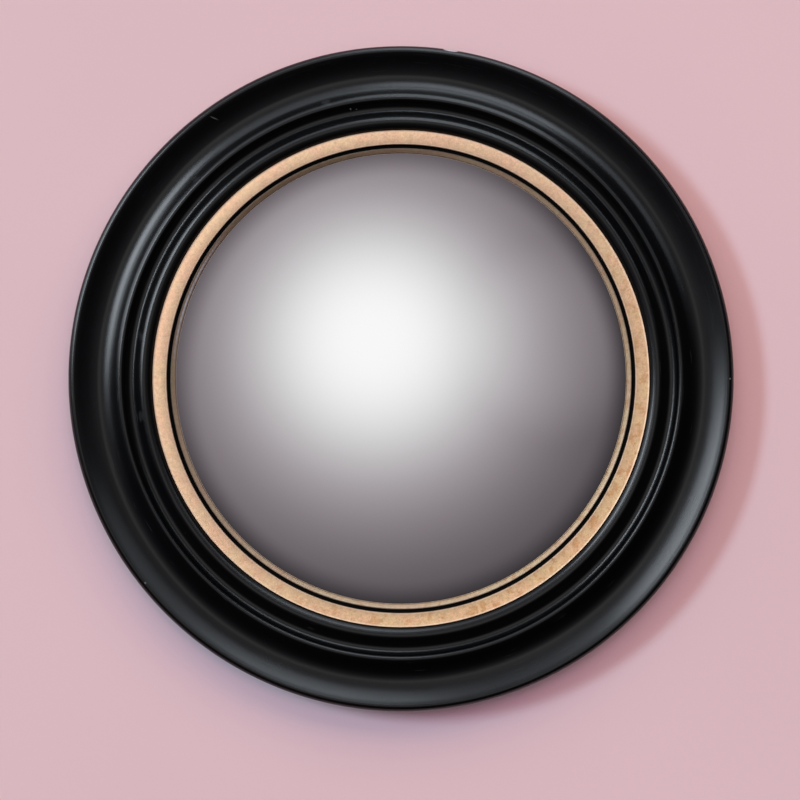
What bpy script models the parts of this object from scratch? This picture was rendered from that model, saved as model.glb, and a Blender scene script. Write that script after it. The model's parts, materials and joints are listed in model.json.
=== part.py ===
"""Framed convex wall mirror, built as the separate pieces that come apart on a bench.

Everything turned shares one axis, square to the wall. The world's origin is on that axis, midway
between the wall and the glass's highest point. The parts are placed under the empty "wall_plane", on
the wall: there x runs to the right, y up and z away from the wall, as seen from the front.
"r" is a distance from the mirror's axis and "z" a height off the wall.
"""

import math

import bmesh
import bpy

MM = 0.001

# Driving dimensions.
OUTER_R = 190.0 * MM
BACK_Z = 4.5 * MM  # the frame's back face, held off the wall by the bumpers
SIGHT_R = 129.0 * MM  # the edge of the visible glass
SIGHT_GLASS_Z = BACK_Z + 11.5 * MM  # the glass's front face at that edge
GLASS_FACE_R = 340.0 * MM  # the sphere that the glass's front face lies on
GLASS_THICK = 3.0 * MM
GLASS_EDGE_R = 133.0 * MM
GAP = 0.3 * MM  # between pieces that rest on each other

# Widths and heights of the turned rings.
LEDGE_R = 141.4 * MM  # inner wall of the cove ring
LEDGE_Z = BACK_Z + 6.5 * MM  # top of the ledge that the bead ring is glued to
BAND_R = (133.65 * MM, 141.7 * MM)
BAND_SEAT_Z = BACK_Z + 9.2 * MM
BAND_STEP_R = 135.7 * MM
BAND_STEP_Z = BACK_Z + 13.3 * MM
SIGHT_RING_R = 131.6 * MM
SIGHT_RING_BASE_Z = BACK_Z + 11.8 * MM
SIGHT_RING_LIP_Z = BACK_Z + 11.95 * MM
SIGHT_RING_TOP_Z = BACK_Z + 13.9 * MM
SIGHT_RING_ROUND = 0.5 * MM
EDGE_ROUND = 0.35 * MM
RIM_DROP = 4.6 * MM  # from the rim's highest point down to where its side turns upright

# The mouldings' front faces as stations in mm: r, height above the frame's back face, and slope.
COVE_FACE = (
    (158.0, 14.35, 1.55),
    (159.8, 15.80, 0.00),
    (161.0, 15.47, -0.55),
    (163.0, 13.85, -1.07),
    (165.1, 11.81, -0.84),
    (167.0, 10.52, -0.52),
    (169.8, 9.29, -0.36),
    (172.9, 8.67, 0.00),
    (174.2, 8.87, 0.28),
    (177.7, 10.14, 0.44),
    (180.5, 11.49, 0.51),
    (184.1, 13.41, 0.55),
    (185.9, 14.33, 0.48),
    (186.95, 14.55, 0.00),
)
BEAD_FACE = (
    (142.0, 13.80, 1.20),
    (143.6, 15.40, 0.80),
    (144.4, 15.90, 0.48),
    (145.4, 16.35, 0.42),
    (146.6, 16.60, 0.00),
    (147.4, 16.46, -0.36),
    (148.3, 16.05, -0.55),
    (149.3, 15.25, -1.05),
    (151.3, 13.10, -1.10),
    (152.9, 11.82, -0.50),
    (154.2, 11.50, 0.00),
    (156.3, 12.34, 0.80),
    (157.7, 14.00, 1.60),
)

# The gilt band's face as points in mm: r and height above the frame's back face.
BAND_FACE = (
    (134.0, 14.90),
    (138.8, 14.45),
    (141.0, 14.10),
    (141.6, 14.35),
)

# Fittings on the back.
BOARD_R = 141.0 * MM
BOARD_THICK = 2.5 * MM
BUTTON_COUNT = 6
BUTTON_PIVOT_R = 163.0 * MM
BUTTON_REACH = 22.0 * MM
BUTTON_PIVOT_END_R = 6.0 * MM
BUTTON_NOSE_R = 4.0 * MM
BUTTON_THICK = 1.2 * MM
SEAT_GAP = 0.2 * MM  # between the thin steel fittings and what they lie on
SCREW_SHANK_R = 1.5 * MM
SCREW_DEPTH = 5.5 * MM  # how far the tips reach into the frame
SCREW_HEAD_R = 3.2 * MM
SCREW_HEAD_THICK = 1.8 * MM
SCREW_HOLE_R = SCREW_SHANK_R + GAP
BUMPER_COUNT = 4
BUMPER_CIRCLE_R = 172.0 * MM
BUMPER_R = (5.2 * MM, 6.5 * MM)  # at the wall, and at the frame
HANGER_AXIS_Y = 173.5 * MM  # the height of the hanging ring's hinge
STRAP_WIDTH = 9.0 * MM
STRAP_LENGTH = 22.0 * MM
STRAP_THICK = 0.8 * MM
STRAP_SCREW_DROPS = (8.9 * MM, 17.1 * MM)
RING_WIRE_R = 1.0 * MM
RING_HALF_WIDTH = 8.0 * MM
RING_HEIGHT = 14.0 * MM
RING_CORNER_R = 2.0 * MM

# Facets.
ROUND = 48
SMALL_ROUND = 12
FACE_STEPS = 2  # between two stations of a moulding

WOOD_BLACK = ("black_lacquer", (0.012, 0.012, 0.014), 0.38, 0.0)
GILT = ("gilt_paint", (0.72, 0.47, 0.27), 0.5, 0.35)
EBONISED = ("ebonised_paint", (0.006, 0.005, 0.005), 0.55, 0.0)
SILVERED = ("silvered_glass", (0.9, 0.9, 0.9), 0.03, 1.0)
FELT = ("black_felt", (0.015, 0.015, 0.015), 0.95, 0.0)
FOAM = ("grey_foam", (0.25, 0.25, 0.26), 0.95, 0.0)
RAW_WOOD = ("bare_fibreboard", (0.42, 0.28, 0.16), 0.85, 0.0)
HARDBOARD = ("brown_hardboard", (0.20, 0.11, 0.055), 0.7, 0.0)
STEEL = ("zinc_plated_steel", (0.62, 0.61, 0.58), 0.35, 1.0)
BRASS = ("brass_plated_steel", (0.70, 0.52, 0.25), 0.3, 1.0)
RUBBER = ("clear_grey_rubber", (0.08, 0.08, 0.085), 0.6, 0.0)


def glass_face_z(r, inset=0.0):
    """Height of the glass's front face at r, or of the sphere that lies inset behind it."""
    centre_z = SIGHT_GLASS_Z - math.sqrt(GLASS_FACE_R**2 - SIGHT_R**2)
    return centre_z + math.sqrt((GLASS_FACE_R - inset) ** 2 - r**2)


DEPTH = glass_face_z(0.0)  # from the wall to the glass's highest point


# Scene and materials


def clear_scene():
    for obj in list(bpy.data.objects):
        bpy.data.objects.remove(obj)


def new_collection(name):
    made = bpy.data.collections.new(name)
    bpy.context.scene.collection.children.link(made)
    return made


def material(spec):
    name, colour, roughness, metallic = spec
    found = bpy.data.materials.get(name)
    if found:
        return found
    made = bpy.data.materials.new(name)
    made.use_nodes = True
    shader = made.node_tree.nodes["Principled BSDF"]
    shader.inputs["Base Color"].default_value = (*colour, 1.0)
    shader.inputs["Roughness"].default_value = roughness
    shader.inputs["Metallic"].default_value = metallic
    made.diffuse_color = (*colour, 1.0)
    return made


def add_object(name, data, spec=None, location=(0.0, 0.0, 0.0), turn=0.0, group=None):
    """One piece in the mirror's frame; turn is its rotation about its own z."""
    obj = bpy.data.objects.new(name, data)
    (group or PARTS).objects.link(obj)
    obj.parent = WALL_PLANE
    obj.location = location
    obj.rotation_euler = (0.0, 0.0, turn)
    if spec and not obj.data.materials:
        obj.data.materials.append(material(spec))
    return obj


def as_mesh(obj):
    """The evaluated shape as a plain mesh that several objects can share."""
    bpy.context.view_layer.update()
    graph = bpy.context.evaluated_depsgraph_get()
    mesh = bpy.data.meshes.new_from_object(obj.evaluated_get(graph))
    bm = bmesh.new()
    bm.from_mesh(mesh)
    bmesh.ops.remove_doubles(bm, verts=bm.verts, dist=0.001 * MM)
    bm.to_mesh(mesh)
    bm.free()
    mesh.materials.clear()
    for slot in obj.data.materials:
        mesh.materials.append(slot)
    return mesh


# Shape tools


def on_circle(radius, angle_deg):
    angle = math.radians(angle_deg)
    return (radius * math.cos(angle), radius * math.sin(angle))


def arc(centre, radius, start_deg, end_deg, steps):
    """Points from one angle to the other, both ends included."""
    span = end_deg - start_deg
    points = []
    for i in range(steps + 1):
        dx, dy = on_circle(radius, start_deg + span * i / steps)
        points.append((centre[0] + dx, centre[1] + dy))
    return points


def moulded_face(stations):
    """A smooth face through the stations: a cubic between each pair, with the slopes they give."""
    points = [(stations[0][0] * MM, BACK_Z + stations[0][1] * MM)]
    for (r0, z0, s0), (r1, z1, s1) in zip(stations, stations[1:]):
        width = r1 - r0
        for i in range(1, FACE_STEPS + 1):
            t = i / FACE_STEPS
            rise = z0 * (2 * t**3 - 3 * t**2 + 1) + z1 * (3 * t**2 - 2 * t**3)
            lean = s0 * (t**3 - 2 * t**2 + t) + s1 * (t**3 - t**2)
            points.append(((r0 + width * t) * MM, BACK_Z + (rise + width * lean) * MM))
    return points


def turned(name, outline, spec, closed=True, segments=ROUND, location=(0.0, 0.0, 0.0)):
    """A ring or disc: the outline's (r, z) points, top to bottom down the outer side, round the axis."""
    mesh = bpy.data.meshes.new(name)
    vertices = [(r, 0.0, z) for r, z in outline]
    edges = [(i, i + 1) for i in range(len(vertices) - 1)]
    if closed:
        edges.append((len(vertices) - 1, 0))
    mesh.from_pydata(vertices, edges, [])
    obj = add_object(name, mesh, spec, location)
    screw = obj.modifiers.new("turning", "SCREW")
    screw.axis = "Z"
    screw.steps = segments
    screw.render_steps = segments
    screw.use_merge_vertices = True
    screw.merge_threshold = 0.01 * MM
    return obj


def flat_plate(name, outlines, thick, spec, location, turn=0.0):
    """A plate of this thickness centred on its location; the second outline, if any, is a hole."""
    curve = bpy.data.curves.new(name, "CURVE")
    curve.dimensions = "2D"
    curve.fill_mode = "BOTH"
    curve.extrude = thick / 2
    for outline in outlines:
        spline = curve.splines.new("POLY")
        spline.points.add(len(outline) - 1)
        for point, (x, y) in zip(spline.points, outline):
            point.co = (x, y, 0.0, 1.0)
        spline.use_cyclic_u = True
    return add_object(name, curve, spec, location, turn)


def wire_ring(name, points, radius, spec, location):
    """A closed loop of round wire."""
    curve = bpy.data.curves.new(name, "CURVE")
    curve.dimensions = "3D"
    curve.bevel_depth = radius
    curve.bevel_resolution = 2
    spline = curve.splines.new("POLY")
    spline.points.add(len(points) - 1)
    for point, position in zip(spline.points, points):
        point.co = (*position, 1.0)
    spline.use_cyclic_u = True
    return add_object(name, curve, spec, location)


def cylinder_mesh(name, radius, z_low, z_high, segments=SMALL_ROUND):
    mesh = bpy.data.meshes.new(name)
    bm = bmesh.new()
    bmesh.ops.create_cone(
        bm, cap_ends=True, segments=segments, radius1=radius, radius2=radius, depth=z_high - z_low
    )
    bmesh.ops.translate(bm, vec=(0.0, 0.0, (z_low + z_high) / 2), verts=bm.verts)
    bm.to_mesh(mesh)
    bm.free()
    return mesh


def box_mesh(name, size, centre):
    mesh = bpy.data.meshes.new(name)
    bm = bmesh.new()
    bmesh.ops.create_cube(bm, size=1.0)
    bmesh.ops.scale(bm, vec=size, verts=bm.verts)
    bmesh.ops.translate(bm, vec=centre, verts=bm.verts)
    bm.to_mesh(mesh)
    bm.free()
    return mesh


def cutter(name, mesh, location, group):
    obj = add_object(name, mesh, location=location, group=group)
    obj.hide_render = True
    obj.display_type = "WIRE"
    return obj


def cut(obj, name, group):
    boolean = obj.modifiers.new(name, "BOOLEAN")
    boolean.operation = "DIFFERENCE"
    boolean.operand_type = "COLLECTION"
    boolean.collection = group
    boolean.solver = "EXACT"


# Where the fittings sit


def button_places():
    """(x, y, angle) of each turn button's pivot; its nose points at the mirror's axis."""
    places = []
    for i in range(BUTTON_COUNT):
        angle = 360.0 * i / BUTTON_COUNT
        places.append((*on_circle(BUTTON_PIVOT_R, angle), angle))
    return places


def hanger_screw_places():
    places = []
    for i, drop in enumerate(STRAP_SCREW_DROPS):
        places.append((f"hanger_screw_{i + 1}", 0.0, HANGER_AXIS_Y - drop))
    return places


def button_screw_places():
    places = []
    for i, (x, y, _) in enumerate(button_places()):
        places.append((f"turn_button_screw_{i + 1}", x, y))
    return places


BUTTON_Z = BACK_Z - SEAT_GAP - BUTTON_THICK / 2
RING_CENTRE_Z = BACK_Z - SEAT_GAP - STRAP_THICK - SEAT_GAP - RING_WIRE_R


# The frame


def build_cove_ring():
    """The wide outer moulding: rim, cove and ridge in front, the ledge and the flat back behind."""
    outline = moulded_face(COVE_FACE)
    inner_r = outline[0][0]
    rim_r, rim_z = outline[-1]
    back_chamfer = 1.0 * MM
    for across, up in arc((0.0, 0.0), 1.0, 90, 0, 5)[1:]:
        outline.append((rim_r + (OUTER_R - rim_r) * across, rim_z - RIM_DROP * (1.0 - up)))
    outline += [
        (OUTER_R, BACK_Z + back_chamfer),
        (OUTER_R - back_chamfer, BACK_Z),
        (LEDGE_R, BACK_Z),
        (LEDGE_R, LEDGE_Z),
        (inner_r, LEDGE_Z),
    ]
    ring = turned("cove_ring", outline, WOOD_BLACK)
    holes = new_collection("pilot_hole_cutters")
    for name, x, y in button_screw_places() + hanger_screw_places():
        hole = cylinder_mesh(f"{name}_hole", SCREW_HOLE_R, -GAP, SCREW_DEPTH + GAP)
        cutter(f"{name}_hole", hole, (x, y, BACK_Z), holes)
    cut(ring, "pilot_holes", holes)


def build_bead_ring():
    """The inner moulding: a bead and a hollow in front, and the flange that carries the gilt band."""
    outline = moulded_face(BEAD_FACE)
    inner_r = outline[0][0]
    outline += [
        (outline[-1][0], LEDGE_Z + GAP),
        (BAND_STEP_R - GAP / 3, LEDGE_Z + GAP),
        (BAND_STEP_R - GAP / 3, BAND_SEAT_Z),
        (inner_r, BAND_SEAT_Z),
    ]
    turned("bead_ring", outline, WOOD_BLACK)


def build_gilt_band():
    """The gilt ring: it falls outwards and turns up at its edge, and hooks over the ebonised slip."""
    inner, outer = BAND_R
    face = [(r * MM, BACK_Z + height * MM) for r, height in BAND_FACE]
    outline = arc((inner + EDGE_ROUND, face[0][1] - EDGE_ROUND), EDGE_ROUND, 180, 90, 2)
    outline += face[1:]
    outline += [
        (outer, face[-1][1] - GAP / 3),
        (outer, BAND_SEAT_Z + GAP),
        (BAND_STEP_R, BAND_SEAT_Z + GAP),
        (BAND_STEP_R, BAND_STEP_Z),
        (inner, BAND_STEP_Z),
    ]
    turned("gilt_band", outline, GILT)


def build_ebonised_slip():
    """The black ring in the groove between the two gilt rings; its outer part lies under the band."""
    inner = SIGHT_RING_R + GAP
    outer = BAND_STEP_R - GAP
    top = BAND_STEP_Z - GAP
    outline = [
        (inner, top),
        (outer, top),
        (outer, SIGHT_RING_BASE_Z),
        (inner, SIGHT_RING_BASE_Z),
    ]
    turned("ebonised_slip", outline, EBONISED)


def build_sight_ring():
    """The narrow gilt lip that frames the glass: it slopes in towards it from a rounded edge."""
    rounding = SIGHT_RING_ROUND
    outline = [(SIGHT_R, SIGHT_RING_BASE_Z), (SIGHT_R, SIGHT_RING_LIP_Z)]
    outline += arc((SIGHT_RING_R - rounding, SIGHT_RING_TOP_Z - rounding), rounding, 135, 0, 5)
    outline += [(SIGHT_RING_R, SIGHT_RING_BASE_Z)]
    turned("sight_ring", outline, GILT)


# The glass and what holds it


def build_glass():
    """A slumped spherical cap of even thickness, silvered on its hollow side."""
    steps = 8
    radii = [GLASS_EDGE_R * i / steps for i in range(steps + 1)]
    outline = [(r, glass_face_z(r)) for r in radii]
    outline += [(r, glass_face_z(r, GLASS_THICK)) for r in reversed(radii)]
    turned("mirror_glass", outline, SILVERED, closed=False)


def build_gasket():
    """The L-shaped felt strip that keeps the glass's edge off the sight ring and centres it."""
    inner = SIGHT_R + 1.4 * MM
    wall = GLASS_EDGE_R + GAP
    outer = BAND_STEP_R - 2 * GAP
    top = SIGHT_RING_BASE_Z - GAP
    foot = LEDGE_Z + GAP
    outline = [
        (inner, top),
        (outer, top),
        (outer, foot),
        (wall, foot),
        (wall, glass_face_z(wall) + GAP),
        (inner, glass_face_z(inner) + GAP),
    ]
    turned("glass_gasket", outline, FELT)


CUSHION_INNER_R = 127.5 * MM
CUSHION_THICK = 1.6 * MM


def behind_glass_z(r, drop):
    """A height that lies drop behind the glass's hollow face."""
    return glass_face_z(r, GLASS_THICK) - drop


def build_rear_cushion():
    """The foam ring that the spacer presses against the glass's silvered side."""
    near, far = GAP, GAP + CUSHION_THICK
    outline = [
        (CUSHION_INNER_R, behind_glass_z(CUSHION_INNER_R, near)),
        (GLASS_EDGE_R, behind_glass_z(GLASS_EDGE_R, near)),
        (GLASS_EDGE_R, behind_glass_z(GLASS_EDGE_R, far)),
        (CUSHION_INNER_R, behind_glass_z(CUSHION_INNER_R, far)),
    ]
    turned("rear_cushion", outline, FOAM)


BOARD_Z = (BACK_Z + 0.2 * MM, BACK_Z + 0.2 * MM + BOARD_THICK)


def build_spacer_ring():
    """The fibreboard ring between the backing board and the glass's cushioned edge."""
    base = BOARD_Z[1] + GAP
    drop = CUSHION_THICK + 2 * GAP
    seat_z = behind_glass_z(GLASS_EDGE_R, drop)
    clear_r = BAND_STEP_R - 3 * GAP
    outline = [
        (CUSHION_INNER_R, behind_glass_z(CUSHION_INNER_R, drop)),
        (GLASS_EDGE_R, seat_z),
        (clear_r, seat_z),
        (clear_r, LEDGE_Z),
        (BOARD_R, LEDGE_Z),
        (BOARD_R, base),
        (CUSHION_INNER_R, base),
    ]
    turned("spacer_ring", outline, RAW_WOOD)


def build_backing_board():
    low, high = BOARD_Z
    outline = [(0.0, high), (BOARD_R, high), (BOARD_R, low), (0.0, low)]
    turned("backing_board", outline, HARDBOARD, closed=False)


# Fittings on the back


def build_turn_buttons():
    """Flat steel buttons that swing over the board's edge; each one's origin is its pivot."""
    nose_side_deg = math.degrees(math.acos((BUTTON_PIVOT_END_R - BUTTON_NOSE_R) / BUTTON_REACH))
    body = arc((0.0, 0.0), BUTTON_PIVOT_END_R, 180 - nose_side_deg, nose_side_deg - 180, 8)
    body += arc((-BUTTON_REACH, 0.0), BUTTON_NOSE_R, nose_side_deg - 180, -180 - nose_side_deg, 5)
    hole = arc((0.0, 0.0), SCREW_HOLE_R, 0, 360, SMALL_ROUND)[:-1]
    for i, (x, y, angle) in enumerate(button_places()):
        name = f"turn_button_{i + 1}"
        place = (x, y, BUTTON_Z)
        flat_plate(name, (body, hole), BUTTON_THICK, STEEL, place, math.radians(angle))


def build_screws(places, clamped):
    """Pan-head wood screws, heads outwards, through plates whose thickness is clamped."""
    head_z = BACK_Z - 2 * SEAT_GAP - clamped
    head_back = head_z - SCREW_HEAD_THICK
    tip = BACK_Z + SCREW_DEPTH
    dome = SCREW_HEAD_THICK / 2
    outline = [
        (0.0, tip),
        (SCREW_SHANK_R, tip - 2 * SCREW_SHANK_R),
        (SCREW_SHANK_R, head_z),
        (SCREW_HEAD_R, head_z),
        (SCREW_HEAD_R, head_back + dome),
        (SCREW_HEAD_R - dome, head_back),
        (0.0, head_back),
    ]
    master = turned("screw_master", outline, STEEL, closed=False, segments=SMALL_ROUND)
    recess = new_collection("screw_recess_cutters")
    arm, slot, deep = 1.3 * SCREW_HEAD_R, 0.9 * MM, 1.1 * MM
    upright = box_mesh("recess_arms", (slot, arm, 2 * deep), (0.0, 0.0, head_back))
    level = box_mesh("recess_arms", (arm, slot, 2 * deep), (0.0, 0.0, head_back))
    cutter("upright_recess", upright, (0.0, 0.0, 0.0), recess)
    cutter("level_recess", level, (0.0, 0.0, 0.0), recess)
    cut(master, "cross_recess", recess)
    mesh = as_mesh(master)
    bpy.data.objects.remove(master)
    for name, x, y in places:
        add_object(name, mesh, location=(x, y, 0.0))


def build_bumpers():
    """Four stick-on rubber bumpers whose faces touch the wall."""
    wall_r, frame_r = BUMPER_R
    top = BACK_Z - GAP
    lip = 0.6 * MM
    outline = [(0.0, top), (frame_r, top), (frame_r, top - 2 * lip), (wall_r, 0.0), (0.0, 0.0)]
    for i in range(BUMPER_COUNT):
        place = (*on_circle(BUMPER_CIRCLE_R, 45.0 + 360.0 * i / BUMPER_COUNT), 0.0)
        turned(f"wall_bumper_{i + 1}", outline, RUBBER, False, SMALL_ROUND, location=place)


def build_hanger_strap():
    """A flat strap screwed to the frame, its upper end rolled round the ring's straight bar."""
    middle_r = RING_WIRE_R + SEAT_GAP + STRAP_THICK / 2
    roll = arc((0.0, 0.0), middle_r, 90, -200, 14)
    side_view = [(-STRAP_LENGTH, middle_r)] + roll
    mesh = bpy.data.meshes.new("hanger_strap")
    half = STRAP_WIDTH / 2
    vertices = [(w, y, z) for y, z in side_view for w in (-half, half)]
    faces = [(2 * i, 2 * i + 1, 2 * i + 3, 2 * i + 2) for i in range(len(side_view) - 1)]
    mesh.from_pydata(vertices, [], faces)
    strap = add_object("hanger_strap", mesh, BRASS, (0.0, HANGER_AXIS_Y, RING_CENTRE_Z))
    sheet = strap.modifiers.new("sheet", "SOLIDIFY")
    sheet.thickness = STRAP_THICK
    sheet.offset = 0.0
    sheet.use_even_offset = True
    holes = new_collection("strap_hole_cutters")
    for name, x, y in hanger_screw_places():
        hole = cylinder_mesh(f"{name}_strap_hole", SCREW_HOLE_R, 0.0, BACK_Z)
        cutter(f"{name}_strap_hole", hole, (x, y, RING_CENTRE_Z), holes)
    cut(strap, "screw_holes", holes)


def build_hanging_ring():
    """The wire ring, hinged on its straight bar; its origin is the bar's centre."""
    bow_r = RING_HALF_WIDTH
    corner = (bow_r - RING_CORNER_R, RING_CORNER_R)
    points = arc(corner, RING_CORNER_R, -90, 0, 3)
    points += arc((0.0, RING_HEIGHT - bow_r), bow_r, 0, 180, 10)
    points += arc((-corner[0], corner[1]), RING_CORNER_R, 180, 270, 3)
    path = [(x, y, 0.0) for x, y in points]
    place = (0.0, HANGER_AXIS_Y, RING_CENTRE_Z)
    wire_ring("hanging_ring", path, RING_WIRE_R, BRASS, place)


clear_scene()
PARTS = new_collection("convex_wall_mirror")
WALL_PLANE = bpy.data.objects.new("wall_plane", None)
PARTS.objects.link(WALL_PLANE)
WALL_PLANE.location = (0.0, DEPTH / 2, 0.0)
WALL_PLANE.rotation_euler = (math.radians(90), 0.0, 0.0)

build_cove_ring()
build_bead_ring()
build_gilt_band()
build_ebonised_slip()
build_sight_ring()
build_glass()
build_gasket()
build_rear_cushion()
build_spacer_ring()
build_backing_board()
build_turn_buttons()
build_screws(button_screw_places(), BUTTON_THICK)
build_hanger_strap()
build_hanging_ring()
build_screws(hanger_screw_places(), STRAP_THICK)
build_bumpers()
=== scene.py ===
"""Looks, light and camera for the framed convex wall mirror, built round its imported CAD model.

Everything turned shares one axis: r is a distance from it, and h = -y a height in front of the
world's origin, which lies midway between the wall and the glass's highest point.
Angles run from +X towards +Z, anticlockwise as the mirror is seen from the front.
"""

import json
import math

import bmesh
import bpy
from mathutils import Matrix, Vector


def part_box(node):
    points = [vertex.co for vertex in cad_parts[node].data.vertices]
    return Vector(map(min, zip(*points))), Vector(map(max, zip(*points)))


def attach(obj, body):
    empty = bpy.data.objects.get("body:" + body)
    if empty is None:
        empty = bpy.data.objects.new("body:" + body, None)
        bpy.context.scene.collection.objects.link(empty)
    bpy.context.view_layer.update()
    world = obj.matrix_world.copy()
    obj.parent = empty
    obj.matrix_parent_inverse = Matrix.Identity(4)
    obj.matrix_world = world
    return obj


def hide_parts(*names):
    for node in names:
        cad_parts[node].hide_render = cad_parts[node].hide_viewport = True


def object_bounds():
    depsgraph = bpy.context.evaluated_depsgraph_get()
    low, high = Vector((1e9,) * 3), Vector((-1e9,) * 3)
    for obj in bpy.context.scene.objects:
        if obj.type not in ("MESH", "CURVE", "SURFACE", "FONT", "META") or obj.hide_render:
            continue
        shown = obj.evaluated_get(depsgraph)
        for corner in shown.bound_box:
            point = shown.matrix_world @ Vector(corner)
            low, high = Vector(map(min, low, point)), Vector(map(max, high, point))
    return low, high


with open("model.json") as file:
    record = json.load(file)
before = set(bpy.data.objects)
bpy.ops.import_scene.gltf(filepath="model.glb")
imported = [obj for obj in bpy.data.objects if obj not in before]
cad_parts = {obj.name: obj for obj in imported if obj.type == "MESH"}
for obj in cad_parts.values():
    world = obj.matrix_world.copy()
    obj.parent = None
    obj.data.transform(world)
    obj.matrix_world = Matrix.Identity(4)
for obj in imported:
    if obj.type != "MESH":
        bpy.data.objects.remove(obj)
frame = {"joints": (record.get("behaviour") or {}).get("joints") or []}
cad_low, cad_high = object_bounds()
WALL_H = -cad_high.y

MM = 0.001
ROOT = "framed_mirror"
RING_STEPS = 480  # round the axis
FACE_STEPS = 5  # between two stations of a moulding
MERGE_DISTANCE = 0.002 * MM

GAP = 0.3 * MM  # clearance between pieces that sit on one another
LEDGE_OVER_BACK = 6.5 * MM  # from the frame's back face to the ledge inside it
CUSHION_INNER_R = 127.5 * MM
CUSHION_THICK = 1.6 * MM
SCREW_HOLE_R = 1.8 * MM
WIRE_R = 1.0 * MM
STRAP_CLEARANCE = 0.2 * MM

TURN_BUTTONS, HANGER_SCREWS, WALL_BUMPERS = 6, 2, 4

# The mouldings' front faces as stations in mm: r, fall below the ring's highest point, and slope.
COVE_FACE = (
    (158.0, 1.45, 1.55),
    (159.8, 0.00, 0.00),
    (161.0, 0.33, -0.55),
    (163.0, 1.95, -1.07),
    (165.1, 3.99, -0.84),
    (167.0, 5.28, -0.52),
    (169.8, 6.51, -0.36),
    (172.9, 7.13, 0.00),
    (174.2, 6.93, 0.28),
    (177.7, 5.66, 0.44),
    (180.5, 4.31, 0.51),
    (184.1, 2.39, 0.55),
    (185.9, 1.47, 0.50),
    (186.3, 1.28, 0.46),
    (186.95, 1.13, 0.00),
)
BEAD_FACE = (
    (142.0, 2.80, 1.20),
    (143.6, 1.20, 0.80),
    (144.4, 0.70, 0.48),
    (145.4, 0.25, 0.42),
    (146.6, 0.00, 0.00),
    (147.4, 0.14, -0.36),
    (148.3, 0.55, -0.55),
    (149.3, 1.35, -1.05),
    (151.3, 3.50, -1.10),
    (152.9, 4.78, -0.50),
    (154.2, 5.10, 0.00),
    (156.3, 4.26, 0.80),
    (157.7, 2.60, 1.60),
)

# The gilt band's face outside its rounded inner edge, as points in mm: r and fall.
BAND_FACE = ((138.8, 0.45), (140.6, 0.75), (141.0, 0.80), (141.25, 0.72), (141.6, 0.55))

# The cove ring's side beyond its face: how far it reaches outwards and down.
RIM_OVER, RIM_DOWN, RIM_POWER = 3.05 * MM, 3.25 * MM, 1.6

# The sight ring slopes from its crest in to the glass, and rolls over outside the crest.
LIP_INNER_R, LIP_CREST_R = 129.0 * MM, 131.4 * MM
LIP_FALL, LIP_POWER = 2.0 * MM, 1.55
LIP_OVER, LIP_DOWN = 0.2 * MM, 0.4 * MM

GLASS_FACE_R = 340.0 * MM  # the sphere that its front face is part of
GLASS_THICK = 3.0 * MM


# Shapes


def on_circle(radius, angle_deg):
    angle = math.radians(angle_deg)
    return (radius * math.cos(angle), radius * math.sin(angle))


def arc(centre, radius, start_deg, end_deg, steps):
    span = end_deg - start_deg
    points = []
    for i in range(steps + 1):
        dx, dy = on_circle(radius, start_deg + span * i / steps)
        points.append((centre[0] + dx, centre[1] + dy))
    return points


def moulded_face(stations, crest):
    """A smooth face through the stations: a cubic between each pair, with the slopes they give."""
    points = []
    for (r0, fall0, s0), (r1, fall1, s1) in zip(stations, stations[1:]):
        width = r1 - r0
        for i in range(FACE_STEPS):
            t = i / FACE_STEPS
            fall = fall0 * (2 * t**3 - 3 * t**2 + 1) + fall1 * (3 * t**2 - 2 * t**3)
            lean = s0 * (t**3 - 2 * t**2 + t) + s1 * (t**3 - t**2)
            points.append(((r0 + width * t) * MM, crest + (width * lean - fall) * MM))
    r, fall, _ = stations[-1]
    points.append((r * MM, crest - fall * MM))
    return points


def rolled_edge(start, over, down, power, steps):
    """Points from start, outwards and down: a superellipse's quarter, rounder as its power rises."""
    points = []
    for i in range(1, steps + 1):
        out = math.sin(math.radians(90.0 * i / steps))
        fall = 1.0 - (1.0 - out**power) ** (1.0 / power)
        points.append((start[0] + over * out, start[1] - down * fall))
    return points


def add_piece(name, mesh, material, body, node, smooth_deg=32.0):
    obj = bpy.data.objects.new(name, mesh)
    bpy.context.scene.collection.objects.link(obj)
    mesh.materials.clear()
    mesh.materials.append(material)
    mesh.shade_smooth()
    mesh.set_sharp_from_angle(angle=math.radians(smooth_deg))
    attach(obj, body)
    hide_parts(node)
    return obj


def turned_mesh(name, outline, steps=RING_STEPS, centre=(0.0, 0.0), closed=True):
    """Turns the (r, h) outline, listed down its outer side, about the axis through centre (x, z)."""
    bm = bmesh.new()
    rings = []
    for r, h in outline:
        if r < 1e-7:
            rings.append([bm.verts.new((centre[0], -h, centre[1]))])
            continue
        ring = []
        for i in range(steps):
            x, z = on_circle(r, 360.0 * i / steps)
            ring.append(bm.verts.new((centre[0] + x, -h, centre[1] + z)))
        rings.append(ring)
    pairs = list(zip(rings, rings[1:]))
    if closed:
        pairs.append((rings[-1], rings[0]))
    for upper, lower in pairs:
        for i in range(steps):
            j = (i + 1) % steps
            corners = [upper[i % len(upper)], upper[j % len(upper)]]
            corners += [lower[j % len(lower)], lower[i % len(lower)]]
            unique = list(dict.fromkeys(corners))
            if len(unique) > 2:
                bm.faces.new(unique)
    bmesh.ops.recalc_face_normals(bm, faces=bm.faces)
    mesh = bpy.data.meshes.new(name)
    bm.to_mesh(mesh)
    bm.free()
    return mesh


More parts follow.
